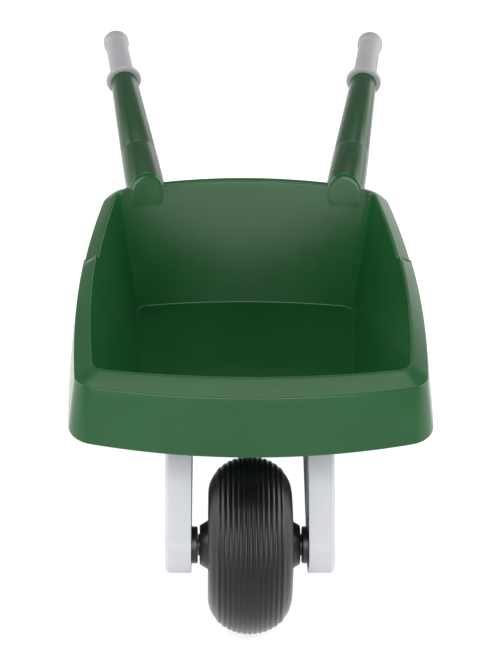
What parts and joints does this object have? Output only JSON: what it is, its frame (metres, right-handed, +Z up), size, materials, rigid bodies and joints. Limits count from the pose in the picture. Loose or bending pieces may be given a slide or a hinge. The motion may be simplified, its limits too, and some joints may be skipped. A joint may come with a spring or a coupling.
{
  "type": "wheelbarrow",
  "caption": "Child's green plastic wheelbarrow: moulded tub, two tapered handles with grey grips, grey side frames with legs, and one ribbed black wheel.",
  "frame": {"origin": "on the ground, under the centre of the bounding box", "axes": "+X to the right when looking from the wheel towards the handles, +Y from the wheel towards the handles, +Z up"},
  "size_m": [0.3488, 0.7678, 0.37],
  "materials": {
    "green_plastic": "glossy moulded polypropylene",
    "silver_plastic": "satin moulded polypropylene",
    "grip_rubber": "soft matte",
    "tyre_plastic": "satin, ribbed",
    "black_plastic": "satin",
    "black_rubber": "matte",
    "steel": "zinc-plated"
  },
  "bodies": {
    "frame": {"tub": "green_plastic", "left_handle_sleeve": "green_plastic", "right_handle_sleeve": "green_plastic", "left_handle_shaft": "green_plastic", "right_handle_shaft": "green_plastic", "left_grip": "grip_rubber", "right_grip": "grip_rubber", "left_side_frame": "silver_plastic", "right_side_frame": "silver_plastic", "left_leg": "silver_plastic", "right_leg": "silver_plastic", "left_foot_cap": "black_rubber", "right_foot_cap": "black_rubber", "front_cross_bar": "steel", "rear_cross_bar": "steel", "axle": "steel", "left_axle_spacer": "black_plastic", "right_axle_spacer": "black_plastic", "frame_screws": "steel", "leg_screws": "steel", "handle_screws": "steel"},
    "wheel": {"tyre": "tyre_plastic", "left_hub_half": "black_plastic", "right_hub_half": "black_plastic", "left_wheel_bush": "black_plastic", "right_wheel_bush": "black_plastic", "hub_screws": "steel"}
  },
  "joints": [
    {"name": "wheel_spin", "type": "hinge", "parent": "frame", "child": "wheel", "pos_m": [0, -0.2989, 0.085], "axis": [1, 0, 0], "continuous": true}
  ]
}
